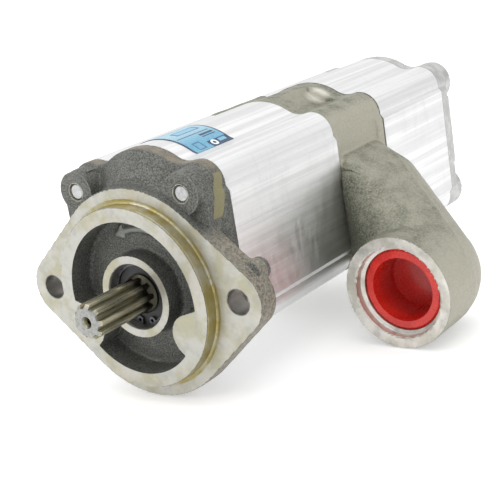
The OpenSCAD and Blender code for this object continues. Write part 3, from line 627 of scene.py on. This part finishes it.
paint = Finish("end_cover_aluminium", Metallic=0.95)
faced = paint.plane("Y", END_PAD, 1)
skin = paint.sum("SUBTRACT", 1.0, faced)
flow = paint.mottle(6.0, 4)
grain = paint.mottle(0.7, 3, shift=2)
cast_colour = paint.mix(paint.step(flow, 0.35, 0.7), (0.46, 0.46, 0.455, 1), (0.60, 0.60, 0.59, 1))
paint.bump(paint.sum("MULTIPLY", grain, skin), 0.10, 0.7)
turned_colour, turned_rough = lathe_turned(paint, faced, (0.66, 0.66, 0.65, 1), (0.56, 0.555, 0.53, 1), 0, 15)
end_aluminium = paint.done(
    paint.mix(faced, cast_colour, turned_colour),
    paint.blend_number(faced, paint.step(grain, 0.3, 0.7, 0.40, 0.56), turned_rough))
casting(
    "end_cover", "end_cover_casting", 0.6,
    [flat(1, END_FRONT, -1), flat(1, END_PAD, 1),
     *[bored(x, z, BOLT_HEAD_R, END_FRONT, END_PAD, -1) for x, z in UPPER_BOLTS + LOWER_BOLTS]],
    end_aluminium, rounding=6, swell=0.08,
)


# ---------------------------------------------------------------- through bolts and washers
# Four zinc-plated steel socket-head bolts run the whole length of the pump and screw into
# the front cover, two of them showing their tips in the lugs. Lock washers sit under the heads.

paint = Finish("zinc_plated_steel", Metallic=1.0)
cells = paint.mottle(0.5, 3)
cloud = paint.mottle(3.0, 3, shift=2)
colour = paint.mix(paint.step(cloud, 0.35, 0.7), (0.50, 0.51, 0.51, 1), (0.38, 0.385, 0.38, 1))
paint.bump(cells, 0.10, 0.8)
give(paint.done(colour, paint.step(cells, 0.3, 0.7, 0.22, 0.42)), "through_bolts", "lock_washers")


# ---------------------------------------------------------------- label
# A printed film stuck over the dome of the front body: pale blue with darker fields and
# lines along its length, and a white ring. It carries no words.

DOME_R = 31.86
DOME_Z = 30.0
LABEL_START = 29.3
LABEL_END = 56.3

paint = Finish("printed_blue_film", IOR=1.45)
x, y, z = paint.axis("X"), paint.axis("Y"), paint.axis("Z")
lean = paint.sum("ARCTAN2", x, paint.sum("SUBTRACT", z, DOME_Z))
arc = paint.sum("MULTIPLY", lean, DOME_R)
ink = paint.mottle(1.2, 3)
colour = paint.mix(paint.step(arc, 2.0, 16.0), (0.30, 0.50, 0.60, 1), (0.11, 0.34, 0.50, 1))
colour = paint.mix(paint.step(ink, 0.35, 0.75, 0, 0.25), colour, (0.38, 0.53, 0.61, 1))
NAVY = (0.012, 0.045, 0.10, 1)


def field(a0, a1, y0, y1, soft=0.12):
    """A printed field: a0 to a1 mm round the dome, y0 to y1 mm along it."""
    return paint.sum("MULTIPLY", paint.band(arc, a0, a1, soft), paint.band(y, y0, y1, soft))


for a0, a1, y0, y1 in [
    (-30, 30, LABEL_START, LABEL_START + 0.7),
    (-30, 30, LABEL_END - 0.9, LABEL_END),
    (22.6, 23.3, LABEL_START, LABEL_END),
    (8.6, 9.1, LABEL_START + 2, LABEL_END - 3),
    (-4.2, -3.8, LABEL_START + 2, LABEL_END - 3),
    (17.0, 22.6, 42.0, LABEL_END),
    (10.6, 12.0, 44.0, LABEL_END - 3),
    (12.8, 13.4, 44.0, LABEL_END - 3),
    (0.6, 5.4, 36.0, 52.0),
]:
    colour = paint.mix(field(a0, a1, y0, y1), colour, NAVY)
for a0, a1, y0, y1 in [(1.2, 4.8, 37.0, 51.0), (17.6, 19.6, 49.0, 54.0)]:
    colour = paint.mix(field(a0, a1, y0, y1), colour, (0.19, 0.42, 0.60, 1))
frame_line = paint.sum("SUBTRACT", field(15.0, 20.5, 33.5, 38.5), field(15.7, 19.8, 34.2, 37.8))
colour = paint.mix(frame_line, colour, (0.03, 0.12, 0.25, 1))
dot = paint.add("CombineXYZ")
paint.feed(dot.inputs[0], paint.sum("SUBTRACT", arc, 19.0))
paint.feed(dot.inputs[1], paint.sum("SUBTRACT", y, 45.5))
size = paint.add("VectorMath", operation="LENGTH")
paint.feed(size.inputs[0], dot.outputs[0])
colour = paint.mix(paint.step(size.outputs["Value"], 1.9, 2.1, 1, 0), colour, (0.80, 0.85, 0.86, 1))
colour = paint.mix(paint.step(size.outputs["Value"], 0.8, 1.0, 1, 0), colour, NAVY)
paint.bump(ink, 0.02, 0.4)
give(paint.done(colour, paint.step(ink, 0.3, 0.7, 0.26, 0.36)), "rating_label")


# ---------------------------------------------------------------- floor, light and camera
# The pump rests on a pale matt table top, with white walls all round it. One large soft
# box hangs overhead and a small one stands in front, on the flange's side.

floor_paint = Finish("pale_table")
haze = floor_paint.mottle(120.0, 2)
tone = floor_paint.mix(haze, (0.70, 0.70, 0.70, 1), (0.72, 0.72, 0.72, 1))
floor_paint.shader.inputs["Emission Color"].default_value = (1, 1, 1, 1)
floor_paint.shader.inputs["Emission Strength"].default_value = 0.42
floor_finish = floor_paint.done(tone, floor_paint.step(haze, 0.3, 0.7, 0.7, 0.8))
floor_mesh = bpy.data.meshes.new("floor")
half = 6.0
corners = [(-half, -half, 0), (half, -half, 0), (half, half, 0), (-half, half, 0)]
floor_mesh.from_pydata(corners, [], [(0, 1, 2, 3)])
floor_mesh.materials.append(floor_finish)
floor = bpy.data.objects.new("floor", floor_mesh)
floor.location = (0, 0.1, cad_low.z - 0.0002)
bpy.context.scene.collection.objects.link(floor)

world = bpy.data.worlds.new("white_walls")
world.use_nodes = True
backdrop = world.node_tree.nodes["Background"]
sky = world.node_tree
towards = sky.nodes.new("ShaderNodeTexCoord")
split = sky.nodes.new("ShaderNodeSeparateXYZ")
height = sky.nodes.new("ShaderNodeMapRange")
sky.links.new(towards.outputs["Generated"], split.inputs[0])
sky.links.new(split.outputs["Z"], height.inputs[0])
for socket, value in zip(list(height.inputs)[1:5], (0.05, 0.5, 0.86, 1.06)):
    socket.default_value = value
sky.links.new(height.outputs[0], backdrop.inputs[1])
backdrop.inputs[0].default_value = (1.0, 1.0, 1.0, 1)
bpy.context.scene.world = world


def soft_box(name, place, aim, watts, width, height):
    light = bpy.data.lights.new(name, "AREA")
    light.shape = "RECTANGLE"
    light.size, light.size_y = width, height
    light.energy = watts
    lamp = bpy.data.objects.new(name, light)
    lamp.location = place
    lamp.rotation_euler = (Vector(aim) - Vector(place)).to_track_quat("-Z", "Y").to_euler()
    bpy.context.scene.collection.objects.link(lamp)


soft_box("overhead_box", (0.10, 0.1, 1.6), (0, 0.1, 0), 9, 1.6, 1.6)
soft_box("front_box", (-0.55, -0.85, 0.55), (0, 0.05, 0), 3, 0.6, 0.6)
bpy.context.scene.view_settings.view_transform = "Standard"

forward = Vector((-0.59659, 0.75442, -0.27374)).normalized()
side = Vector((0.80149, 0.57758, -0.15496)).normalized()
upward = side.cross(forward).normalized()
side = forward.cross(upward).normalized()
lens = bpy.data.cameras.new("camera")
lens.lens = 86.75
lens.sensor_width = 36
lens.shift_x = 0.0070
lens.shift_y = -0.0014
camera = bpy.data.objects.new("camera", lens)
bpy.context.scene.collection.objects.link(camera)
turn = Matrix((side, upward, -forward)).transposed().to_4x4()
turn.translation = Vector((0.3496, -0.3637, 0.1553))
camera.matrix_world = turn
bpy.context.scene.camera = camera
